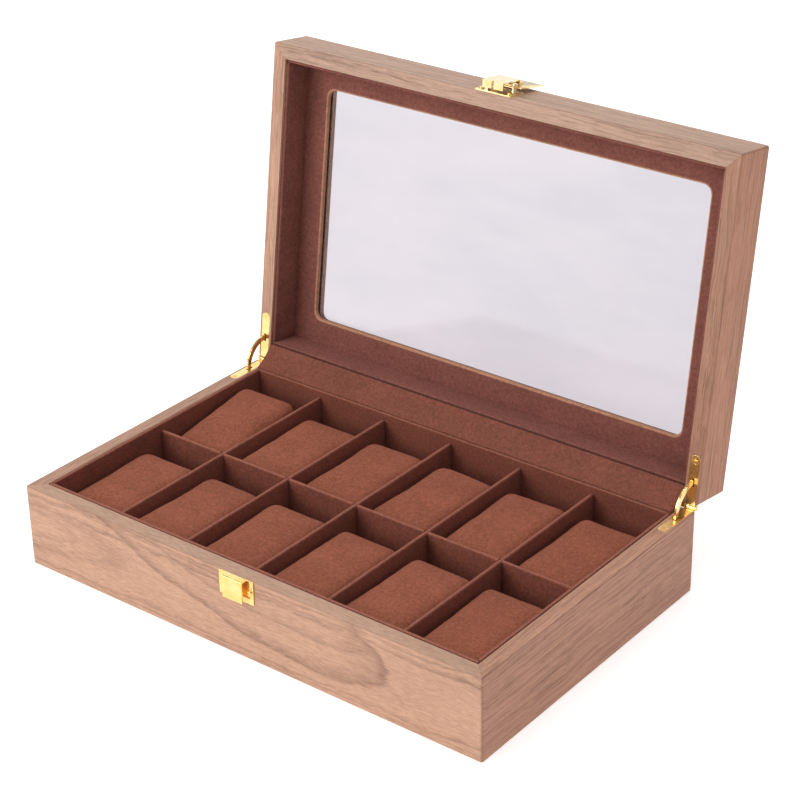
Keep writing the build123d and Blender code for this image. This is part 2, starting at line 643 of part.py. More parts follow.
def write_claw():
    """The claw on the lever: a plate with a barrel at one end and a slit lip at the other."""
    height, out = CLAW_PIN
    top = out + CLAW_BARREL
    end = height - CLAW_REACH
    under = top - PLATE_THICKNESS
    lip = top - CLAW_LIP_DEPTH
    with BuildPart() as claw:
        with Locations((0, FRONT - out, BASE_HEIGHT + height)):
            Cylinder(CLAW_BARREL, CATCH_WIDTH, rotation=(0, 90, 0))
        profile_bar([(height, top), (end, top), (end, lip), (end + PLATE_THICKNESS, lip),
                     (end + PLATE_THICKNESS, under), (height, under)], CATCH_WIDTH)
        with Locations((0, FRONT - lip, BASE_HEIGHT + end)):
            Box(CLAW_SLIT, 2 * (top - lip) + GAP, THROUGH_CUT, mode=Mode.SUBTRACT)
        pin_hole(CLAW_PIN, CLAW_PIN_RADIUS)
    finish(claw.part, "latch_claw", on_lid=True)


write_box_walls()
write_bottom()
write_base_liners()
write_dividers()
write_pillows()
write_lid_top()
write_lid_lining()
write_leaves()
write_hinge_pins()
write_stay_arms()
write_gusset()
write_screws()
write_strike()
write_latch_plate()
write_lever()
write_claw()
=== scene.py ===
import json
import math

import bmesh
import bpy
from mathutils import Matrix, Vector, noise


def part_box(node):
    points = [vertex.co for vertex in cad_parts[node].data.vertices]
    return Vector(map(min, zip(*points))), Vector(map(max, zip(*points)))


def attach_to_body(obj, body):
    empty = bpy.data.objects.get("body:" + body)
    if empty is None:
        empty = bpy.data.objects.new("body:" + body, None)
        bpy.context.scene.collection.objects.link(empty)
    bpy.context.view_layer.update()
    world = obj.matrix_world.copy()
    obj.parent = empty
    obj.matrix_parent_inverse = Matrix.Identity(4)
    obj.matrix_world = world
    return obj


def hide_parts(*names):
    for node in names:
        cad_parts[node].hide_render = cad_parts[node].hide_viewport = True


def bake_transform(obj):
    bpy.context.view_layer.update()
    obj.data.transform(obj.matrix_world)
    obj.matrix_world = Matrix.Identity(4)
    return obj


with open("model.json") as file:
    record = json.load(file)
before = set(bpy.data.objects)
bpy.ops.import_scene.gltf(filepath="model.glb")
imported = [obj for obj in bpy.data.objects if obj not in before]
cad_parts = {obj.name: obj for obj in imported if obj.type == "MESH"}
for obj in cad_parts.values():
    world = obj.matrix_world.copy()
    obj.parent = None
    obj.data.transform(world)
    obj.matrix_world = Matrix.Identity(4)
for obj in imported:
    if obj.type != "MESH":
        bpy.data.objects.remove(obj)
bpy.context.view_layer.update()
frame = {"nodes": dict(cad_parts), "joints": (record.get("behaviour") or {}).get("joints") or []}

# Watch box with its lid open. Blender works in metres; MM turns millimetres into metres.
# Two rows of cells, each with COLUMNS cells and a pillow in each.
MM = 0.001
COLUMNS = 6

# Camera, as seen from the centre of the underside
CAMERA_AZIMUTH = math.radians(38.31)
CAMERA_ELEVATION = math.radians(27.50)
CAMERA_ROLL = math.radians(-0.97)
CAMERA_DISTANCE = 1.2496
CAMERA_RIGHT = 0.0241
CAMERA_UP = 0.1002
LENS = 98.7

# Lid hinge, from the record
HINGE = next(j for j in frame["joints"] if j["name"] == "lid_hinge")
HINGE_POINT = Vector(HINGE["pos_m"])
SHUT_ANGLE = math.radians(-HINGE["range_deg"][0])
TO_OPEN = (Matrix.Translation(HINGE_POINT) @ Matrix.Rotation(-SHUT_ANGLE, 4, "X")
           @ Matrix.Translation(-HINGE_POINT))
TO_SHUT = TO_OPEN.inverted()

# Walnut, the bottom board, suede and brass, as linear colours
WALNUT_LIGHT = (0.640, 0.375, 0.255)
WALNUT_DARK = (0.250, 0.125, 0.082)
BOARD_LIGHT = (0.16, 0.10, 0.07)
BOARD_DARK = (0.09, 0.055, 0.04)
PILLOW_SUEDE = (0.292, 0.094, 0.055)
LINER_SUEDE = (0.215, 0.067, 0.044)
LID_SUEDE = (0.226, 0.083, 0.063)
GUSSET_SUEDE = (0.222, 0.076, 0.052)
# Painted highlight on the upward tops of the dividers and liners, for the light that falls on them
TOP_LIT_SUEDE = (0.40, 0.165, 0.115)
# Painted shadow in the gusset's seam under the lid's lining
SEAM_SHADOW_SUEDE = (0.085, 0.030, 0.022)
# Painted highlight on the mat's lip, where light falls on its fold
LIT_LIP_SUEDE = (0.46, 0.23, 0.14)
BRASS = (1.00, 0.70, 0.27)
BRASS_DEEP = (0.97, 0.60, 0.17)
# A paler brass for the latch: a painted highlight for the strong light on it, the plating being the
# same
BRASS_LIT = (1.00, 0.84, 0.52)


# ---------------------------------------------------------------- camera, floor and lights

def add_camera():
    """The camera at the angle of the picture, with its roll."""
    azimuth, elevation = CAMERA_AZIMUTH, CAMERA_ELEVATION
    back = Vector((math.sin(azimuth) * math.cos(elevation),
                   -math.cos(azimuth) * math.cos(elevation), math.sin(elevation)))
    level = Vector((0, 0, 1)).cross(back).normalized()
    upright = back.cross(level)
    right = level * math.cos(CAMERA_ROLL) + upright * math.sin(CAMERA_ROLL)
    up = upright * math.cos(CAMERA_ROLL) - level * math.sin(CAMERA_ROLL)
    data = bpy.data.cameras.new("camera")
    data.lens = LENS
    camera = bpy.data.objects.new("camera", data)
    bpy.context.scene.collection.objects.link(camera)
    place = back * CAMERA_DISTANCE + right * CAMERA_RIGHT + up * CAMERA_UP
    camera.matrix_world = Matrix((
        (right.x, up.x, back.x, place.x),
        (right.y, up.y, back.y, place.y),
        (right.z, up.z, back.z, place.z),
        (0, 0, 0, 1)))
    bpy.context.scene.camera = camera


def area_light(name, place, size, power, target):
    """A square soft box that faces the target."""
    data = bpy.data.lights.new(name, "AREA")
    data.size = size
    data.energy = power
    light = bpy.data.objects.new(name, data)
    bpy.context.scene.collection.objects.link(light)
    light.location = place
    light.rotation_mode = "QUATERNION"
    light.rotation_quaternion = (Vector(target) - Vector(place)).to_track_quat("-Z", "Y")


# Soft boxes: name, place, size, power and target
BOX_MIDDLE = (0, 0, 0.08)
FLOOR_BEHIND = (0.1, 0.45, 0.0)
LIGHTS = (
    ("key", (-0.85, -1.70, 1.05), 1.3, 24.0, BOX_MIDDLE),
    ("top", (0.1, -0.1, 1.9), 1.4, 13.0, BOX_MIDDLE),
    ("side", (1.7, 0.2, 0.9), 0.9, 2.0, BOX_MIDDLE),
    ("back", (0.0, 1.7, 1.3), 1.3, 6.0, FLOOR_BEHIND),
    ("card", (-1.0, 1.2, 0.85), 1.1, 3.4, BOX_MIDDLE),
)
SURROUND_LOW = (0.62, 0.63, 0.66, 1)
SURROUND_HIGH = (1.0, 0.99, 0.98, 1)
SURROUND_STRENGTH = 0.38
FLOOR_HALF = 12.0
FLOOR_GLOW = 0.52


def add_studio():
    """A pale floor, soft boxes and a soft surround."""
    scene = bpy.context.scene
    scene.view_settings.view_transform = "Standard"
    for name, place, size, power, target in LIGHTS:
        area_light(name, place, size, power, target)
    add_surround()
    add_floor()


def add_surround():
    """A world that is paler above than below."""
    world = bpy.data.worlds.new("studio")
    bpy.context.scene.world = world
    world.use_nodes = True
    tree = world.node_tree
    where = tree.nodes.new("ShaderNodeTexCoord")
    split = tree.nodes.new("ShaderNodeSeparateXYZ")
    ramp = tree.nodes.new("ShaderNodeValToRGB")
    tree.links.new(where.outputs["Generated"], split.inputs[0])
    tree.links.new(split.outputs["Z"], ramp.inputs[0])
    ramp.color_ramp.elements[0].color = SURROUND_LOW
    ramp.color_ramp.elements[1].color = SURROUND_HIGH
    ramp.color_ramp.elements[1].position = 0.55
    surround = tree.nodes["Background"]
    tree.links.new(ramp.outputs[0], surround.inputs["Color"])
    surround.inputs["Strength"].default_value = SURROUND_STRENGTH


def add_floor():
    """White paper that glows a little, so that it stays white."""
    mesh = bpy.data.meshes.new("studio_floor")
    half = FLOOR_HALF
    mesh.from_pydata([(-half, -half, 0), (half, -half, 0), (half, half, 0), (-half, half, 0)],
                     [], [(0, 1, 2, 3)])
    floor = bpy.data.objects.new("studio_floor", mesh)
    bpy.context.scene.collection.objects.link(floor)
    g = Shader("studio_paper")
    tone = g.noise(g.place_mm(), 1 / 60, detail=3)
    colour = g.ramp(tone, [(0.3, (0.80, 0.80, 0.80)), (0.7, (0.83, 0.83, 0.83))])
    g.finish({"Base Color": colour, "Roughness": 0.9,
              "Emission Color": (1, 1, 1, 1), "Emission Strength": FLOOR_GLOW})
    mesh.materials.append(g.material)


# ---------------------------------------------------------------- materials

class Shader:
    """A material's nodes, made by short calls. A value is a number, a tuple or a socket."""

    def __init__(self, name):
        self.material = bpy.data.materials.new(name)
        self.material.use_nodes = True
        self.tree = self.material.node_tree
        self.tree.nodes.clear()

    def node(self, kind, values=(), **settings):
        made = self.tree.nodes.new("ShaderNode" + kind)
        for key, value in settings.items():
            setattr(made, key, value)
        pairs = values.items() if isinstance(values, dict) else enumerate(values)
        for key, value in pairs:
            self.feed(made.inputs[key], value)
        return made

    def feed(self, socket, value):
        if isinstance(value, bpy.types.NodeSocket):
            self.tree.links.new(value, socket)
        elif socket.type == "RGBA" and len(value) == 3:
            socket.default_value = (*value, 1)
        else:
            socket.default_value = value

    def math(self, operation, *values):
        return self.node("Math", values, operation=operation).outputs[0]

    def vector(self, operation, *values):
        return self.node("VectorMath", values, operation=operation).outputs[0]

    def split(self, vector):
        return self.node("SeparateXYZ", [vector]).outputs

    def join(self, x, y, z):
        return self.node("CombineXYZ", [x, y, z]).outputs[0]

    def stretched(self, vector, length, width):
        """A place scaled so that noise of size 1 is so many mm long and wide."""
        return self.vector("MULTIPLY", vector, (1 / length, 1 / width, 1 / width))

    def centred(self, value, gain=1.0):
        """A value from 0 to 1, moved to lie about 0 and scaled."""
        about_zero = self.math("SUBTRACT", value, 0.5)
        return about_zero if gain == 1.0 else self.math("MULTIPLY", about_zero, gain)

    def noise(self, vector, scale=1.0, detail=2.0, roughness=0.5, colour=False):
        made = self.node("TexNoise", {"Vector": vector, "Scale": scale, "Detail": detail,
                                      "Roughness": roughness})
        return made.outputs["Color" if colour else "Fac"]

    def ramp(self, factor, stops):
        made = self.node("ValToRGB", [factor])
        elements = made.color_ramp.elements
        while len(elements) < len(stops):
            elements.new(0.5)
        for element, (position, value) in zip(elements, stops):
            element.position = position
            element.color = (*value, 1) if isinstance(value, tuple) else (value,) * 3 + (1,)
        return made.outputs[0]

    def mix(self, factor, a, b, blend="MIX"):
        made = self.node("Mix", data_type="RGBA", blend_type=blend)
        self.feed(made.inputs["Factor"], factor)
        self.feed(made.inputs[6], a)
        self.feed(made.inputs[7], b)
        return made.outputs[2]

    def place_mm(self, on_lid=False):
        """Position on the piece in millimetres. On the lid it is the position with the lid shut."""
        place = self.node("TexCoord").outputs["Object"]
        if on_lid:
            turn = {"Vector": place, "Center": HINGE_POINT, "Angle": SHUT_ANGLE}
            place = self.node("VectorRotate", turn, rotation_type="X_AXIS").outputs[0]
        return self.vector("MULTIPLY", place, (1 / MM,) * 3)

    def normal(self, on_lid=False):
        """The piece's own normal, turned as the lid is when shut."""
        normal = self.node("TexCoord").outputs["Normal"]
        if on_lid:
            turn = {"Vector": normal, "Angle": SHUT_ANGLE}
            normal = self.node("VectorRotate", turn, rotation_type="X_AXIS").outputs[0]
        return normal

    def bump(self, height, strength, distance):
        return self.node("Bump", {"Height": height, "Strength": strength,
                                  "Distance": distance * MM}).outputs[0]

    def finish(self, values):
        surface = self.node("BsdfPrincipled", values)
        output = self.node("OutputMaterial")
        self.tree.links.new(surface.outputs[0], output.inputs["Surface"])
        return self.material


def eye(g, u, v, centre, half, tilt):
    """Distance in rings from an elongated knot-like eye, which gives cathedral arches."""
    c, s = math.cos(math.radians(tilt)), math.sin(math.radians(tilt))
    du = g.math("SUBTRACT", u, centre[0])
    dv = g.math("SUBTRACT", v, centre[1])
    along = g.math("ADD", g.math("MULTIPLY", du, c / half[0]), g.math("MULTIPLY", dv, s / half[0]))
    across = g.math("ADD", g.math("MULTIPLY", du, -s / half[1]),
                    g.math("MULTIPLY", dv, c / half[1]))
    square = g.math("ADD", g.math("MULTIPLY", along, along), g.math("MULTIPLY", across, across))
    return g.math("MULTIPLY", g.math("SQRT", square), half[1])


def ring_line(g, distance, width, fade, inward=True):
    """A growth line at distance 0: dark at its edge, fading over one side."""
    side = g.math("MULTIPLY", distance, -1.0 if inward else 1.0)
    rise = g.node("MapRange", {"Value": side, "From Min": -width, "From Max": 0.0}).outputs[0]
    fall = g.node("MapRange", {"Value": side, "From Min": 0.0, "From Max": fade,
                               "To Min": 1.0, "To Max": 0.0}).outputs[0]
    return g.math("MULTIPLY", rise, g.math("POWER", fall, 1.6))


def growth_lines(g, u, z, bend, figure):
    """The cathedral figure of a flat-cut panel: the strongest line at each place."""
    strongest = None
    for kind, values, width, fade, strength in figure:
        if kind == "eye":
            centre, half, tilt = values
            distance = g.math("SUBTRACT", eye(g, u, z, centre, half, tilt), half[1])
        else:
            level, slope, wave = values
            course = g.math("ADD", level, g.math("MULTIPLY", u, slope))
            distance = g.math("SUBTRACT", g.math("ADD", course, g.math("MULTIPLY", bend, wave)), z)
        line = g.math("MULTIPLY", ring_line(g, distance, width, fade), strength)
        strongest = line if strongest is None else g.math("MAXIMUM", strongest, line)
    return strongest


# Sizes of the veneer's markings in mm: length along the grain, and width
WANDER = (45, 22)
WANDER_SHIFT = 6
BROAD_STREAK = (190, 4.6)
SHORT_STREAK = (75, 1.1)
FIBRE_LENGTH = 7.5
STRAIGHT_FIBRE_LENGTH = 34.0
FIBRE_WIDTH = 0.62
PORE = (4.2, 0.42)
CLOUD = (70, 22)
FRAY = (9, 2.2)
MITRE_OFFSET = 60.0


def veneer_figure(g, u, z, shift, wander, grain, figure, on_lid):
    """Growth lines that wander and fray, on the panel's face and hardly on its rim."""
    sideways = g.split(wander)[0]
    fray = g.noise(g.stretched(grain, *FRAY), detail=3)
    ragged = g.centred(fray, 3.4)
    level = g.math("ADD", z, g.math("MULTIPLY", g.split(shift)[1], 1.35))
    drift = g.centred(sideways, 34.0)
    lines = growth_lines(g, g.math("ADD", u, drift), g.math("ADD", level, ragged),
                         g.centred(sideways), figure)
    facing = g.split(g.vector("ABSOLUTE", g.normal(on_lid)))[1]
    on_face = g.ramp(facing, [(0.5, 0.15), (0.8, 1.0)])
    return g.math("MULTIPLY", lines, on_face)


def walnut(name, along, on_lid=False, figure=(), seed=0.0, tint=(1, 1, 1), rim=(1, 1, 1),
           streaky=1.0, light=WALNUT_LIGHT, dark=WALNUT_DARK, fibre_length=FIBRE_LENGTH):
    """Satin walnut veneer: growth lines, straight streaks, fine fibre and pores."""
    g = Shader(name)
    x, y, z = g.split(g.place_mm(on_lid))
    u, w = (x, y) if along == "x" else (y, x)
    grain = g.vector("ADD", g.join(u, z, w), (seed, seed / 3, seed / 7))

    wander = g.noise(g.stretched(grain, *WANDER), detail=3, colour=True)
    shift = g.vector("MULTIPLY", g.vector("SUBTRACT", wander, (0.5,) * 3),
                     (0, WANDER_SHIFT, WANDER_SHIFT))
    bent = g.vector("ADD", grain, shift)

    # Dark streaks of uneven width, long ones and shorter ones between them
    broad = g.noise(g.stretched(bent, *BROAD_STREAK), detail=3, roughness=0.6)
    broad = g.ramp(broad, [(0.42, 0.0), (0.68, 1.0)])
    short = g.noise(g.stretched(bent, *SHORT_STREAK), detail=2)
    short = g.ramp(short, [(0.50, 0.0), (0.62, 1.0)])

    # Fibre, and open pores among it
    fibre = g.noise(g.stretched(bent, fibre_length, FIBRE_WIDTH), detail=3, roughness=0.7)
    pores = g.ramp(g.noise(g.stretched(bent, *PORE), detail=1), [(0.60, 0.0), (0.74, 1.0)])
    cloud = g.noise(g.stretched(grain, *CLOUD), detail=2)

    # How dark each place is, from 0 to 1
    tone = g.math("ADD", g.centred(fibre, 1.45), g.centred(cloud, 0.34))
    tone = g.math("ADD", tone, g.math("MULTIPLY", broad, 0.24 * streaky))
    tone = g.math("ADD", tone, g.math("MULTIPLY", short, 0.34 * streaky))
    if figure:
        lines = veneer_figure(g, u, z, shift, wander, grain, figure, on_lid)
        tone = g.math("ADD", tone, g.math("MULTIPLY", lines, 0.56))
    tone = g.math("ADD", tone, 0.13)
    colour = g.mix(g.node("Clamp", [tone]).outputs[0], light, dark)
    colour = g.mix(g.math("MULTIPLY", pores, 0.42), colour, dark)
    colour = g.mix(1.0, colour, tint, "MULTIPLY")

    # Faces that point up or down, the rims, are multiplied by a colour of their own
    nx, ny, nz = g.split(g.vector("ABSOLUTE", g.normal(on_lid)))
    on_rim = g.ramp(nz, [(0.6, 0.0), (0.9, 1.0)])
    colour = g.mix(on_rim, colour, g.mix(1.0, colour, rim, "MULTIPLY"))

    # A hairline where two panels are mitred
    corner = g.math("SUBTRACT", g.math("ABSOLUTE", x), g.math("ABSOLUTE", y))
    off_mitre = g.math("ABSOLUTE", g.math("SUBTRACT", corner, MITRE_OFFSET))
    line = g.ramp(off_mitre, [(0.06, 1.0), (0.26, 0.0)])
    colour = g.mix(g.math("MULTIPLY", line, 0.45), colour, dark)

    # Darker arrises, where the normal leaves the three main directions
    flat = g.math("MAXIMUM", g.math("MAXIMUM", nx, ny), nz)
    arris = g.ramp(flat, [(0.80, 1.0), (0.985, 0.0)])
    colour = g.mix(g.math("MULTIPLY", arris, 0.40), colour, dark)

    relief = g.math("SUBTRACT", g.math("MULTIPLY", fibre, 0.5), pores)
    return g.finish({
        "Base Color": colour,
        "Roughness": g.ramp(fibre, [(0.3, 0.46), (0.7, 0.60)]),
        "Specular IOR Level": 0.35,
        "Normal": g.bump(relief, 0.35, 0.06),
    })


# Sizes of the suede's mottling in mm
NAP_FINE = 0.55
NAP_GRAIN = 1.7
BRUSHED = (26, 16)


def suede(name, colour, on_lid=False, lit_tops_above=None, gap_at=None):
    """Fine suede: mottled nap, a soft bloom at its edges and no gloss.

    Above the top height given, in millimetres, upward edges are painted lighter: a painted
    highlight where the light falls on the tops. gap_at is the half width and half depth beyond
    which the board's far edge is painted dark: a painted shadow for the gap at the wood."""
    g = Shader(name)
    place = g.place_mm(on_lid)
    fine = g.noise(place, 1 / NAP_FINE, detail=2, roughness=0.7)
    grain = g.noise(place, 1 / NAP_GRAIN, detail=3, roughness=0.65)
    brushed = g.noise(g.stretched(place, *BRUSHED), detail=2)
    tone = g.math("ADD", g.math("MULTIPLY", fine, 0.42), g.math("MULTIPLY", grain, 0.46))
    tone = g.math("ADD", tone, g.math("MULTIPLY", brushed, 0.14))
    low = tuple(c * 0.64 for c in colour)
    high = tuple(min(1.0, c * 1.42) for c in colour)
    shade = g.ramp(tone, [(0.36, low), (0.51, colour), (0.66, high)])
    x, y, z = g.split(place)
    if lit_tops_above is not None:
        # Painted highlight: upward faces above the top height are mixed towards a lighter suede,
        # for the light that falls on the tops
        up = g.ramp(g.split(g.normal())[2], [(0.35, 0.0), (0.85, 1.0)])
        high_up = g.node("MapRange", {"Value": z, "From Min": lit_tops_above - 1.0,
                                      "From Max": lit_tops_above}).outputs[0]
        top_light = g.math("MULTIPLY", g.math("MULTIPLY", up, high_up),
                        g.ramp(grain, [(0.3, 0.55), (0.6, 1.0)]))
        shade = g.mix(g.math("MULTIPLY", top_light, 0.62), shade, TOP_LIT_SUEDE)
    # Painted shadow: past the wood's inner faces the board's far edge is mixed to a dark suede, for
    # the shade in the gap between board and wood
    if gap_at is not None:
        past_x = g.math("SUBTRACT", g.math("ABSOLUTE", x), gap_at[0])
        past_y = g.math("SUBTRACT", g.math("ABSOLUTE", y), gap_at[1])
        shadow = g.node("MapRange", {"Value": g.math("MAXIMUM", past_x, past_y),
                                     "From Min": -0.35, "From Max": 0.15}).outputs[0]
        shade = g.mix(g.math("MULTIPLY", shadow, 0.85), shade, tuple(c * 0.22 for c in colour))
    relief = g.math("ADD", fine, g.math("MULTIPLY", grain, 0.8))
    return g.finish({
        "Base Color": shade,
        "Roughness": 0.95,
        "Specular IOR Level": 0.12,
        "Sheen Weight": 0.16,
        "Sheen Roughness": 0.45,
        "Sheen Tint": (*[min(1.0, 0.2 + 1.7 * c) for c in colour], 1),
        "Normal": g.bump(relief, 0.6, 0.14),
    })


# Sizes of the plating's drift, hairlines and dull spots, and of the glass's smears, in mm
PLATING_DRIFT = 7.0
HAIRLINE = (3.0, 0.12)
DULL_SPOT = 1.6
SMEAR = (120, 44)


def brass(name, rough=0.19, on_lid=False, deep=BRASS_DEEP, light=BRASS):
    """Pale gold plating: slight colour drift, hairline scratches and dull spots."""
    g = Shader(name)
    place = g.place_mm(on_lid)
    drift = g.noise(place, 1 / PLATING_DRIFT, detail=2)
    length, width = HAIRLINE
    hair = g.noise(g.vector("MULTIPLY", place, (1 / length, 1 / width, 1 / length)), detail=2)
    dull = g.noise(place, 1 / DULL_SPOT, detail=3)
    colour = g.ramp(drift, [(0.35, deep), (0.62, light)])
    rougher = g.ramp(g.math("ADD", g.math("MULTIPLY", hair, 0.5), g.math("MULTIPLY", dull, 0.5)),
                     [(0.3, rough * 0.85), (0.7, rough * 1.2)])
    return g.finish({
        "Base Color": colour,
        "Metallic": 0.88,
        "Roughness": rougher,
        "Coat Weight": 0.6,
        "Coat Roughness": 0.1,
        "Normal": g.bump(hair, 0.03, 0.004),
    })


def glass(name):
    """Float glass with a faint cool tint, and wiped smears in its gloss.

    Light passes it almost clear, so that the inside can be seen with the lid shut."""
    g = Shader(name)
    place = g.place_mm(True)
    smear = g.noise(g.stretched(place, *SMEAR), detail=3)
    tint = g.ramp(smear, [(0.35, (0.742, 0.724, 0.753)), (0.65, (0.782, 0.755, 0.783))])
    lit = g.node("LightPath").outputs["Is Shadow Ray"]
    seen = g.mix(lit, tint, (0.95, 0.95, 0.95))
    clear = g.node("BsdfTransparent", {"Color": seen}).outputs[0]
    gloss = g.node("BsdfGlossy", {
        "Color": (1, 1, 1),
        "Roughness": g.ramp(smear, [(0.4, 0.02), (0.7, 0.09)])}).outputs[0]
    fresnel = g.node("Fresnel", {"IOR": 1.45}).outputs[0]
    share = g.math("MULTIPLY", fresnel, 0.45)
    both = g.node("MixShader", [share, clear, gloss]).outputs[0]
    output = g.node("OutputMaterial")
    g.tree.links.new(both, output.inputs["Surface"])
    return g.material


# ---------------------------------------------------------------- mesh helpers

def node_box(node, on_lid=False):
    """Lowest and highest corner of a CAD node. On the lid they are taken with the lid shut."""
    turn = TO_SHUT if on_lid else Matrix.Identity(4)
    points = [turn @ v.co for v in frame["nodes"][node].data.vertices]
    low = Vector(min(p[i] for p in points) for i in range(3))
    high = Vector(max(p[i] for p in points) for i in range(3))
    return low, high


def mesh_object(name, points, faces, material):
    """A new smooth object from points and faces."""
    mesh = bpy.data.meshes.new(name)
    mesh.from_pydata(points, [], faces)
    mesh.validate()
    mesh.shade_smooth()
    mesh.materials.append(material)
    made = bpy.data.objects.new(name, mesh)
    bpy.context.scene.collection.objects.link(made)
    return made


def apply_modifiers(obj):
    """Bake the modifiers of an object into its mesh."""
    graph = bpy.context.evaluated_depsgraph_get()
    mesh = bpy.data.meshes.new_from_object(obj.evaluated_get(graph))
    obj.modifiers.clear()
    obj.data = mesh


CORNER_STEPS = 4


def rounded_outline(width, height, radii, step):
    """Closed outline of a rectangle centred on 0, 0, with one radius per corner.

    Corners run anticlockwise from the lower left. Straight runs are divided about every step."""
    corners = [(-1, -1), (1, -1), (1, 1), (-1, 1)]
    starts = [180, 270, 0, 90]
    points = []
    for (sx, sy), radius, start in zip(corners, radii, starts):
        cx, cy = sx * (width / 2 - radius), sy * (height / 2 - radius)
        arc = [Vector((cx + radius * math.cos(math.radians(start + 90 * k / CORNER_STEPS)),
                       cy + radius * math.sin(math.radians(start + 90 * k / CORNER_STEPS))))
               for k in range(CORNER_STEPS + 1)]
        if points:
            points += divided(points[-1], arc[0], step)
        points += arc
    points += divided(points[-1], points[0], step)
    return points


def divided(a, b, step):
    """Points between a and b, without the two ends."""
    parts = max(1, round((b - a).length / step))
    return [a.lerp(b, k / parts) for k in range(1, parts)]


# The ripples' noise starts from the clock unless it is seeded, or if its seed is 0
RIPPLE_SEED = 7
noise.seed_set(RIPPLE_SEED)


def ripple(point, seed, size, reach):
    """A small offset that varies smoothly over a surface."""
    return noise.noise_vector(point / reach + Vector((seed, seed * 0.37, -seed))) * size


def wrapped_board(name, node, along, material, on_lid=False, radii=(0.9, 0.9, 0.9, 0.9),
                  slots=(), step=5.0, seed=1.0):
    """A thin board wrapped in suede, in place of a CAD node: soft arrises, slightly uneven faces.

    along is the axis of its length. The outline across it runs over thickness and height, and
    radii are those of its four corners. slots are boxes cut out of it, where boards are halved."""
    low, high = node_box(node, on_lid)
    middle, size = (low + high) / 2, high - low
    thick_axis = 1 - along
    outline = rounded_outline(size[thick_axis], size[2], [r * MM for r in radii], step * MM)
    length = size[along]
    ease = 0.5 * MM
    stations = [-length / 2, -length / 2 + ease * 0.35, -length / 2 + ease]
    count = max(2, round(length / (step * MM)))
    stations += [(-0.5 + k / count) * length for k in range(1, count)]
    stations += [length / 2 - ease, length / 2 - ease * 0.35, length / 2]
    shrink = [ease, ease * 0.3] + [0.0] * (len(stations) - 4) + [ease * 0.3, ease]
    points, faces = [], []
    for place, inset in zip(stations, shrink):
        for across, up in outline:
            spot = middle.copy()
            spot[along] += place
            spot[thick_axis] += across - math.copysign(inset, across)
            spot[2] += up - math.copysign(inset, up)
            wave = ripple(spot, seed, 0.12 * MM, 14 * MM)
            wave[along] = 0
            points.append(spot + wave)
    ring = len(outline)
    for s in range(len(stations) - 1):
        for k in range(ring):
            a, b = s * ring + k, s * ring + (k + 1) % ring
            faces.append((a, b, b + ring, a + ring))
    faces.append(tuple(reversed(range(ring))))
    faces.append(tuple(range((len(stations) - 1) * ring, len(stations) * ring)))
    board = mesh_object(name, points, faces, material)
    fix_normals(board)
    for cut_low, cut_high in slots:
        cut_box(board, cut_low, cut_high)
    if on_lid:
        board.data.transform(TO_OPEN)
    return board


def fix_normals(obj):
    """Turn all faces outwards. Recalculating alone can turn a thin board inside out."""
    bm = bmesh.new()
    bm.from_mesh(obj.data)
    bmesh.ops.recalc_face_normals(bm, faces=bm.faces)
    if bm.calc_volume(signed=True) < 0:
        bmesh.ops.reverse_faces(bm, faces=bm.faces)
    bm.to_mesh(obj.data)
    bm.free()


def cut_box(obj, low, high):
    """Cut a box out of a mesh."""
    size, middle = high - low, (low + high) / 2
    bm = bmesh.new()
    place = Matrix.Translation(middle) @ Matrix.Diagonal((*size, 1))
    bmesh.ops.create_cube(bm, size=1.0, matrix=place)
    mesh = bpy.data.meshes.new("cutter")
    bm.to_mesh(mesh)
    bm.free()
    cutter = bpy.data.objects.new("cutter", mesh)
    bpy.context.scene.collection.objects.link(cutter)
    cut = obj.modifiers.new("cut", "BOOLEAN")
    cut.operation = "DIFFERENCE"
    cut.solver = "EXACT"
    cut.object = cutter
    apply_modifiers(obj)
    bpy.data.objects.remove(cutter)


# ---------------------------------------------------------------- fabric-wrapped boards

def add_base_boards(liner):
    """The liners and dividers of the base, and the lining of its floor."""
    for name, along in (("front_liner", 0), ("back_liner", 0), ("left_liner", 1),
                        ("right_liner", 1)):
        board = wrapped_board(name + "_suede", name, along, liner,
                              radii=(0.3, 0.3, 1.05, 1.05), seed=len(name))
        attach(board, "base", "suede_liner", name)

    low, high = node_box("long_divider")
    half = (low.z + high.z) / 2
    thick = high.y - low.y
    crossings = []
    for number in range(1, COLUMNS):
        cross = f"cross_divider_{number}"
        c_low, c_high = node_box(cross)
        crossings.append((c_low.x, c_high.x))
        slot = [(Vector((c_low.x - thick, low.y, c_low.z - thick)),
                 Vector((c_high.x + thick, high.y, half)))]
        board = wrapped_board(cross + "_suede", cross, 1, liner, slots=slot,
                              radii=(0.3, 0.3, 1.1, 1.1), seed=number * 2.3)
        attach(board, "base", "suede_liner", cross)
    slots = [(Vector((a, low.y - thick, half)), Vector((b, high.y + thick, high.z + thick)))
             for a, b in crossings]
    board = wrapped_board("long_divider_suede", "long_divider", 0, liner, slots=slots,
                          radii=(0.3, 0.3, 1.1, 1.1), seed=5.1)
    attach(board, "base", "suede_liner", "long_divider")

    floor = wrapped_board("floor_lining_suede", "floor_lining", 0, liner,
                          radii=(0.2, 0.2, 0.4, 0.4), seed=3.3)
    attach(floor, "base", "suede_liner", "floor_lining")


def add_lid_boards(liner):
    """The linings inside the lid's walls."""
    for side, along in (("front", 0), ("back", 0), ("left", 1), ("right", 1)):
        node = f"lid_lining_{side}"
        board = wrapped_board(node + "_suede", node, along, liner, on_lid=True,
                              radii=(0.9, 0.9, 0.2, 0.2), seed=len(side) * 1.7)
        attach(board, "lid", "suede_liner", node)


# The mat: width round the window, radius of the window's corners, how many parts its long and
# short sides, its corners and its fold have, and how many of its rings are the lip, painted lighter
# for the light that falls on it
BORDER = 17.9
WINDOW_RADIUS = 5.0
RING_SIDE = (44, 26)
RING_CORNER = 8
FOLD_STEPS = 4
LIP_RINGS = 5


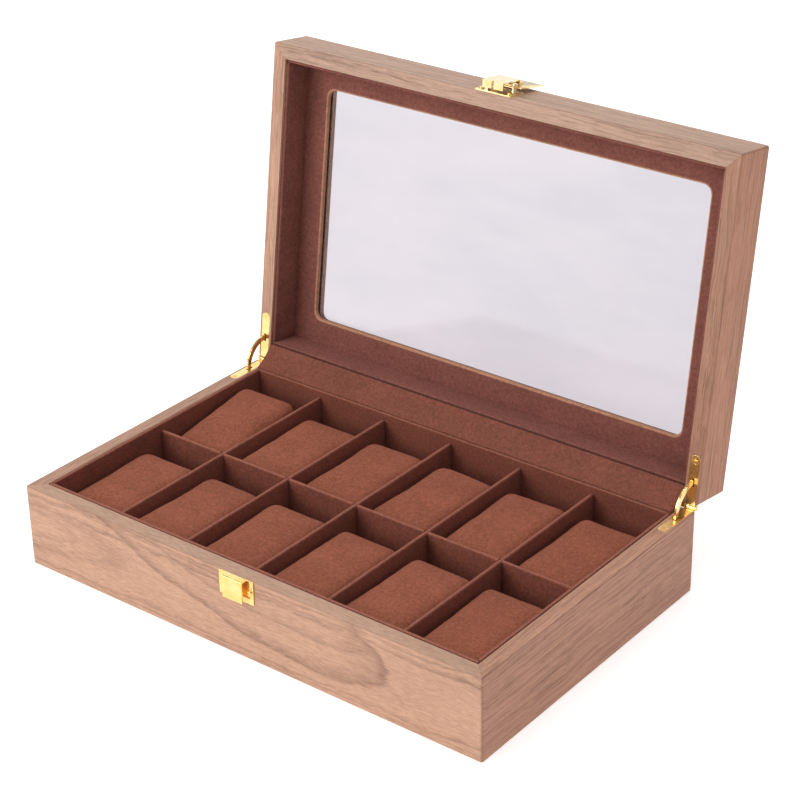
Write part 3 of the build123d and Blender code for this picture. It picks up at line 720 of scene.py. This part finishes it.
def add_mat(liner, lit_lip):
    """The mat round the window, its suede folded over the window's edge, where the lip is painted
    lighter: a painted highlight.
    """
    low, high = node_box("lid_mat", True)
    middle, size = (low + high) / 2, high - low
    border = BORDER * MM
    inner_w, inner_d = size.x - 2 * border, size.y - 2 * border
    thick = size.z
    fold = 0.45 * thick
    # offset outward from the window, height above the mat's underside, per ring
    rings = [(0.0, thick), (0.0, fold)]
    rings += [(fold * (1 - math.cos(a)), fold * (1 - math.sin(a)))
              for a in (math.pi / 2 * k / FOLD_STEPS for k in range(1, FOLD_STEPS + 1))]
    rings += [(border * t, 0.0) for t in (0.2, 0.4, 0.6, 0.8, 0.97)]
    rings += [(border, 0.03 * thick), (border, thick), (0.5 * border, thick)]
    points, faces = [], []
    count = None
    for offset, height in rings:
        share = offset / border
        radius = (WINDOW_RADIUS * MM + offset) * (1 - share) ** 2 + 0.6 * MM
        outline = ring_outline(inner_w + 2 * offset, inner_d + 2 * offset, radius)
        count = len(outline)
        for px, py in outline:
            spot = Vector((middle.x + px, middle.y + py, low.z + height))
            inside = 0.2 < share < 0.95 and height == 0.0
            if inside:
                spot.z += abs(ripple(spot, 4.4, 0.25 * MM, 18 * MM).z)
            points.append(spot)
    total = len(rings)
    for r in range(total):
        for k in range(count):
            a, b = r * count + k, r * count + (k + 1) % count
            c, d = (((r + 1) % total) * count + (k + 1) % count,
                    ((r + 1) % total) * count + k)
            faces.append((a, b, c, d))
    mat = mesh_object("lid_mat_suede", points, faces, liner)
    # Painted highlight: the lip's rings take a lighter suede, for the light that falls on the fold
    mat.data.materials.append(lit_lip)
    for face in mat.data.polygons[:LIP_RINGS * count]:
        face.material_index = 1
    fix_normals(mat)
    mat.data.transform(TO_OPEN)
    attach(mat, "lid", "suede_liner", "lid_mat")


def ring_outline(width, depth, radius):
    """Closed outline of a rounded rectangle with a fixed number of points, to join ring to ring."""
    corners = [(-1, -1, 180), (1, -1, 270), (1, 1, 0), (-1, 1, 90)]
    points = []
    for index, (sx, sy, start) in enumerate(corners):
        cx, cy = sx * (width / 2 - radius), sy * (depth / 2 - radius)
        arc = [Vector((cx + radius * math.cos(math.radians(start + 90 * k / RING_CORNER)),
                       cy + radius * math.sin(math.radians(start + 90 * k / RING_CORNER))))
               for k in range(RING_CORNER + 1)]
        nx, ny, nstart = corners[(index + 1) % 4]
        first = Vector((nx * (width / 2 - radius) + radius * math.cos(math.radians(nstart)),
                        ny * (depth / 2 - radius) + radius * math.sin(math.radians(nstart))))
        parts = RING_SIDE[index % 2]
        points += arc
        points += [arc[-1].lerp(first, k / parts) for k in range(1, parts)]
    return points


def attach(piece, body, slot, *nodes):
    """Make a piece ride on a body and stand for CAD nodes, which it hides. slot is not used."""
    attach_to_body(piece, body)
    if nodes:
        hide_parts(*nodes)
    return piece


# ---------------------------------------------------------------- pillows

PILLOW_SIZE = Vector((44.4, 72.4, 37.6)) * MM
PILLOW_EDGE = 5.5
PILLOW_SWELL = 1.1
PILLOW_VOXEL = 2.6
PROPPED_TILT = 7.0
PROPPED_YAW = 1.6
YAW_SPREAD = 1.3
SWELL_FRAMES = 20


def pillow_block(size, edge):
    """A block with rounded arrises and vertical corners, centred on its base."""
    bm = bmesh.new()
    matrix = Matrix.Translation((0, 0, size.z / 2)) @ Matrix.Diagonal((*size, 1))
    bmesh.ops.create_cube(bm, size=1.0, matrix=matrix)
    bmesh.ops.bevel(bm, geom=bm.edges[:], offset=edge, segments=4, profile=0.5, affect="EDGES")
    mesh = bpy.data.meshes.new("pillow_form")
    bm.to_mesh(mesh)
    bm.free()
    form = bpy.data.objects.new("pillow_form", mesh)
    bpy.context.scene.collection.objects.link(form)
    return form


def puffed_pillow():
    """The foam pillow's form: a block that cloth pressure crowns, as tight suede over foam."""
    size = PILLOW_SIZE - Vector((PILLOW_SWELL,) * 3) * 1.2 * MM
    form = pillow_block(size, PILLOW_EDGE * MM)
    remesh = form.modifiers.new("remesh", "REMESH")
    remesh.mode = "VOXEL"
    remesh.voxel_size = PILLOW_VOXEL * MM
    apply_modifiers(form)
    rest = [v.co.copy() for v in form.data.vertices]
    simulate(form)
    cap = PILLOW_SWELL * MM
    for vertex, start in zip(form.data.vertices, rest):
        moved = vertex.co - start
        if moved.length > cap:
            vertex.co = start + moved * (cap / moved.length)
    smooth = form.modifiers.new("smooth", "SMOOTH")
    smooth.factor = 0.5
    smooth.iterations = 2
    finer = form.modifiers.new("finer", "SUBSURF")
    finer.levels = 1
    apply_modifiers(form)
    return form


def simulate(form):
    """Let cloth pressure swell the form."""
    scene = bpy.context.scene
    cloth = form.modifiers.new("cloth", "CLOTH")
    settings = cloth.settings
    settings.use_pressure = True
    settings.uniform_pressure_force = 4.0
    settings.effector_weights.gravity = 0
    settings.quality = 5
    settings.mass = 0.3
    settings.tension_stiffness = 25
    settings.compression_stiffness = 25
    settings.bending_stiffness = 2.0
    for number in range(1, SWELL_FRAMES + 1):
        scene.frame_set(number)
    apply_modifiers(form)
    scene.frame_set(1)


def add_pillows(cover):
    """Twelve watch pillows, each a little different. The back left one is propped up behind."""
    form = puffed_pillow()
    number = 0
    for row in ("front", "back"):
        for column in range(1, COLUMNS + 1):
            number += 1
            node = f"watch_pillow_{row}_{column}"
            propped = (row, column) == ("back", 1)
            pillow = pillow_copy(form, node + "_suede", number, cover)
            low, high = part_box(node)
            yaw = PROPPED_YAW if propped else YAW_SPREAD * math.sin(number * 2.4)
            turn = Matrix.Rotation(math.radians(yaw), 4, "Z")
            if propped:
                turn = Matrix.Rotation(math.radians(PROPPED_TILT), 4, "X") @ turn
            pillow.data.transform(turn)
            points = [v.co for v in pillow.data.vertices]
            own_low = Vector(min(p[i] for p in points) for i in range(3))
            own_high = Vector(max(p[i] for p in points) for i in range(3))
            shift = (low + high) / 2 - (own_low + own_high) / 2
            shift.z = low.z - own_low.z
            pillow.data.transform(Matrix.Translation(shift))
            attach(pillow, node, "suede_pillow", node)
    bpy.data.objects.remove(form)


def pillow_copy(form, name, number, cover):
    """A copy of the form with its own slight unevenness, and sides that pull in between corners."""
    mesh = form.data.copy()
    mesh.materials.clear()
    mesh.materials.append(cover)
    mesh.shade_smooth()
    half = PILLOW_SIZE / 2
    for vertex in mesh.vertices:
        co = vertex.co
        uneven = ripple(co, number * 3.1, 0.55 * MM, 26 * MM)
        wrinkle = ripple(co, number * 5.7, 0.16 * MM, 7 * MM)
        up = max(0.0, co.z / PILLOW_SIZE.z)
        pull = 0.7 * MM * max(0.0, 1 - abs(2 * co.z / PILLOW_SIZE.z - 1) ** 2)
        inward = Vector((co.x / half.x, co.y / half.y, 0)) * pull
        vertex.co = co + uneven * up + wrinkle - inward
    pillow = bpy.data.objects.new(name, mesh)
    bpy.context.scene.collection.objects.link(pillow)
    return pillow


# ---------------------------------------------------------------- gusset

GUSSET_THICKNESS = 0.7
GUSSET_SAG = 1.1
SEAM_DIP = 0.5
GUSSET_ROWS = 14
GUSSET_COLUMNS = 90


def add_gusset(cover, seam):
    """The suede strip that closes the back between base and lid, which on the box folds as the lid
    turns. It is built in one shape, with the lid open.

    Its last row dips into the seam below the lid's lining and takes a dark suede there: a painted
    shadow for the shade in the seam."""
    low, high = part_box("gusset_strip")
    foot = Vector((0, low.y, low.z))
    head = Vector((0, high.y, high.z))
    run = head - foot
    across = Vector((0, -run.z, run.y)).normalized()
    thick = GUSSET_THICKNESS * MM
    points, faces = [], []
    for side in (0.5, -0.5):
        for row in range(GUSSET_ROWS + 1):
            t = row / GUSSET_ROWS
            for column in range(GUSSET_COLUMNS + 1):
                s = column / GUSSET_COLUMNS
                spot = foot + run * t
                spot.x = low.x + (high.x - low.x) * s
                sag = -GUSSET_SAG * MM * math.sin(math.pi * t)
                if row == GUSSET_ROWS:
                    sag -= SEAM_DIP * MM
                wave = ripple(spot, 8.8, 0.35 * MM, 20 * MM).z * math.sin(math.pi * t)
                points.append(spot + across * (side * thick + sag + wave))
    wide = GUSSET_COLUMNS + 1
    layer = (GUSSET_ROWS + 1) * wide
    for row in range(GUSSET_ROWS):
        for column in range(GUSSET_COLUMNS):
            a = row * wide + column
            faces.append((a, a + 1, a + 1 + wide, a + wide))
            faces.append(tuple(layer + k for k in (a + wide, a + 1 + wide, a + 1, a)))
    rim = list(range(wide))
    rim += [row * wide + wide - 1 for row in range(1, GUSSET_ROWS + 1)]
    rim += [GUSSET_ROWS * wide + column for column in range(wide - 2, -1, -1)]
    rim += [row * wide for row in range(GUSSET_ROWS - 1, 0, -1)]
    for k, a in enumerate(rim):
        b = rim[(k + 1) % len(rim)]
        faces.append((a, a + layer, b + layer, b))
    strip = mesh_object("gusset_suede", points, faces, cover)
    # Painted shadow: the last row takes the dark seam suede, for the shade under the lid's lining
    strip.data.materials.append(seam)
    last_row = foot + run * (1 - 0.9 / GUSSET_ROWS)
    for face in strip.data.polygons:
        if (face.center - last_row).dot(run) > 0:
            face.material_index = 1
    fix_normals(strip)
    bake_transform(strip)
    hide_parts("gusset_strip")


# ---------------------------------------------------------------- CAD nodes that stay

ARRIS = 0.12
ARRIS_ANGLE = math.radians(35)
SPLIT_ANGLE = math.radians(32)
WELD_REACH = 0.01
FLAT_FACE_WEIGHT = 90


def dress(node, material, bevel=None):
    """Give a CAD node that stays its material, and soften its arrises with modifiers."""
    piece = frame["nodes"][node]
    for index in range(len(piece.material_slots)):
        piece.material_slots[index].material = material
    if not piece.material_slots:
        piece.data.materials.append(material)
    weld = piece.modifiers.new("weld", "WELD")
    weld.merge_threshold = WELD_REACH * MM
    if bevel:
        soft = piece.modifiers.new("arris", "BEVEL")
        soft.width = bevel * MM
        soft.segments = 2
        soft.limit_method = "ANGLE"
        soft.angle_limit = ARRIS_ANGLE
    split = piece.modifiers.new("arrises", "EDGE_SPLIT")
    split.split_angle = SPLIT_ANGLE
    flat = piece.modifiers.new("flat_faces", "WEIGHTED_NORMAL")
    flat.weight = FLAT_FACE_WEIGHT


# Growth lines of the base's front: kind, its shape, edge width, fade and strength
FRONT_FIGURE = (
    ("eye", ((-215.0, 29.0), (96.0, 12.5), 0.0), 1.0, 3.0, 0.45),
    ("eye", ((-208.0, 28.0), (112.0, 17.0), 0.0), 3.0, 5.0, 0.50),
    ("eye", ((-19.0, 56.5), (120.0, 35.0), -14.0), 1.2, 7.0, 0.95),
    ("eye", ((-8.0, 58.0), (100.0, 22.0), -10.0), 1.0, 5.0, 0.60),
    ("eye", ((4.0, 62.0), (84.0, 16.0), -8.0), 0.8, 4.0, 0.50),
    ("line", (42.5, 0.012, 9.0), 1.0, 3.0, 0.80),
    ("line", (45.6, -0.010, 7.0), 0.8, 2.4, 0.75),
    ("line", (48.4, 0.002, 5.0), 0.6, 2.0, 0.80),
    ("line", (5.2, 0.002, 9.0), 0.8, 2.4, 0.70),
    ("line", (2.4, 0.001, 4.0), 0.6, 1.6, 0.60),
)

# What the veneer's colour is multiplied by on each panel, and again on its rim
PANEL_TONES = {
    ("base", "front"): ((0.93, 0.92, 0.89), (0.95, 1.01, 1.07)),
    ("base", "back"): ((0.96, 0.94, 0.93), (1.0, 1.1, 1.15)),
    ("base", "left"): ((0.96, 0.94, 0.93), (0.84, 0.84, 0.86)),
    ("base", "right"): ((0.815, 0.675, 0.640), (1.09, 1.21, 1.24)),
    ("lid", "front"): ((0.89, 0.97, 1.02), (0.93, 0.93, 0.95)),
    ("lid", "back"): ((0.96, 0.94, 0.93), (1.0, 1.0, 1.0)),
    ("lid", "left"): ((0.96, 0.94, 0.93), (1.0, 1.0, 1.0)),
    ("lid", "right"): ((0.83, 0.64, 0.55), (0.84, 0.97, 1.09)),
}


def dress_wood():
    """Veneer on every wooden panel, its grain along the panel."""
    for owner, on_lid, seed in (("base", False, 40.0), ("lid", True, 310.0)):
        for index, (side, along) in enumerate((("front", "x"), ("back", "x"),
                                               ("left", "y"), ("right", "y"))):
            figured = (owner, side) == ("base", "front")
            tint, rim = PANEL_TONES[owner, side]
            material = walnut(f"walnut_{owner}_{side}", along, on_lid,
                              FRONT_FIGURE if figured else (), seed + 57 * index, tint, rim,
                              streaky=0.25 if figured else 1.0,
                              fibre_length=FIBRE_LENGTH if figured
                              else STRAIGHT_FIBRE_LENGTH)
            dress(f"{owner}_{side}_panel", material)
    top = walnut("walnut_lid_top", "x", True, (), 77.0)
    dress("lid_top_panel", top)
    board = walnut("bottom_board", "x", False, (), 9.0, light=BOARD_LIGHT, dark=BOARD_DARK)
    dress("bottom_panel", board)


def dress_hardware():
    """Gold plating on hinges, stays, strike and latch, and the window's glass."""
    plated, plated_lid = brass("brass_base"), brass("brass_lid", on_lid=True)
    satin = brass("brass_screws", rough=0.24)
    # Painted highlight: the latch takes a paler copy of the plating, for the strong light on it
    lit_latch_brass = brass("brass_latch_lit", on_lid=True, deep=BRASS, light=BRASS_LIT)
    base = ("base_leaf_left", "base_leaf_right", "strike_plate", "stay_arm_left",
            "stay_arm_right")
    lid = ("lid_leaf_left", "lid_leaf_right")
    latch = ("latch_plate", "latch_lever", "latch_claw")
    small = ("hinge_pins", "latch_pin", "claw_pin", "strike_screws", "latch_screws",
             "base_leaf_screws", "lid_leaf_screws")
    for node in base:
        dress(node, plated, bevel=ARRIS)
    for node in lid:
        dress(node, plated_lid, bevel=ARRIS)
    for node in latch:
        dress(node, lit_latch_brass, bevel=ARRIS)
    for node in small:
        dress(node, satin)
    dress("lid_glass", glass("window_glass"))


# ---------------------------------------------------------------- the whole

add_camera()
add_studio()
dress_wood()
dress_hardware()
DIVIDER_TOP = node_box("long_divider")[1].z / MM
WOOD_INSIDE = (node_box("right_liner")[1].x / MM, node_box("back_liner")[1].y / MM)
liner_suede = suede("liner_suede", LINER_SUEDE, lit_tops_above=DIVIDER_TOP, gap_at=WOOD_INSIDE)
gusset_suede = suede("gusset_suede", GUSSET_SUEDE)
lid_suede = suede("lid_suede", LID_SUEDE, on_lid=True)
add_base_boards(liner_suede)
add_lid_boards(lid_suede)
add_mat(lid_suede, suede("lit_lip_suede", LIT_LIP_SUEDE, on_lid=True))
add_gusset(gusset_suede, suede("seam_shadow_suede", SEAM_SHADOW_SUEDE))
add_pillows(suede("pillow_suede", PILLOW_SUEDE))
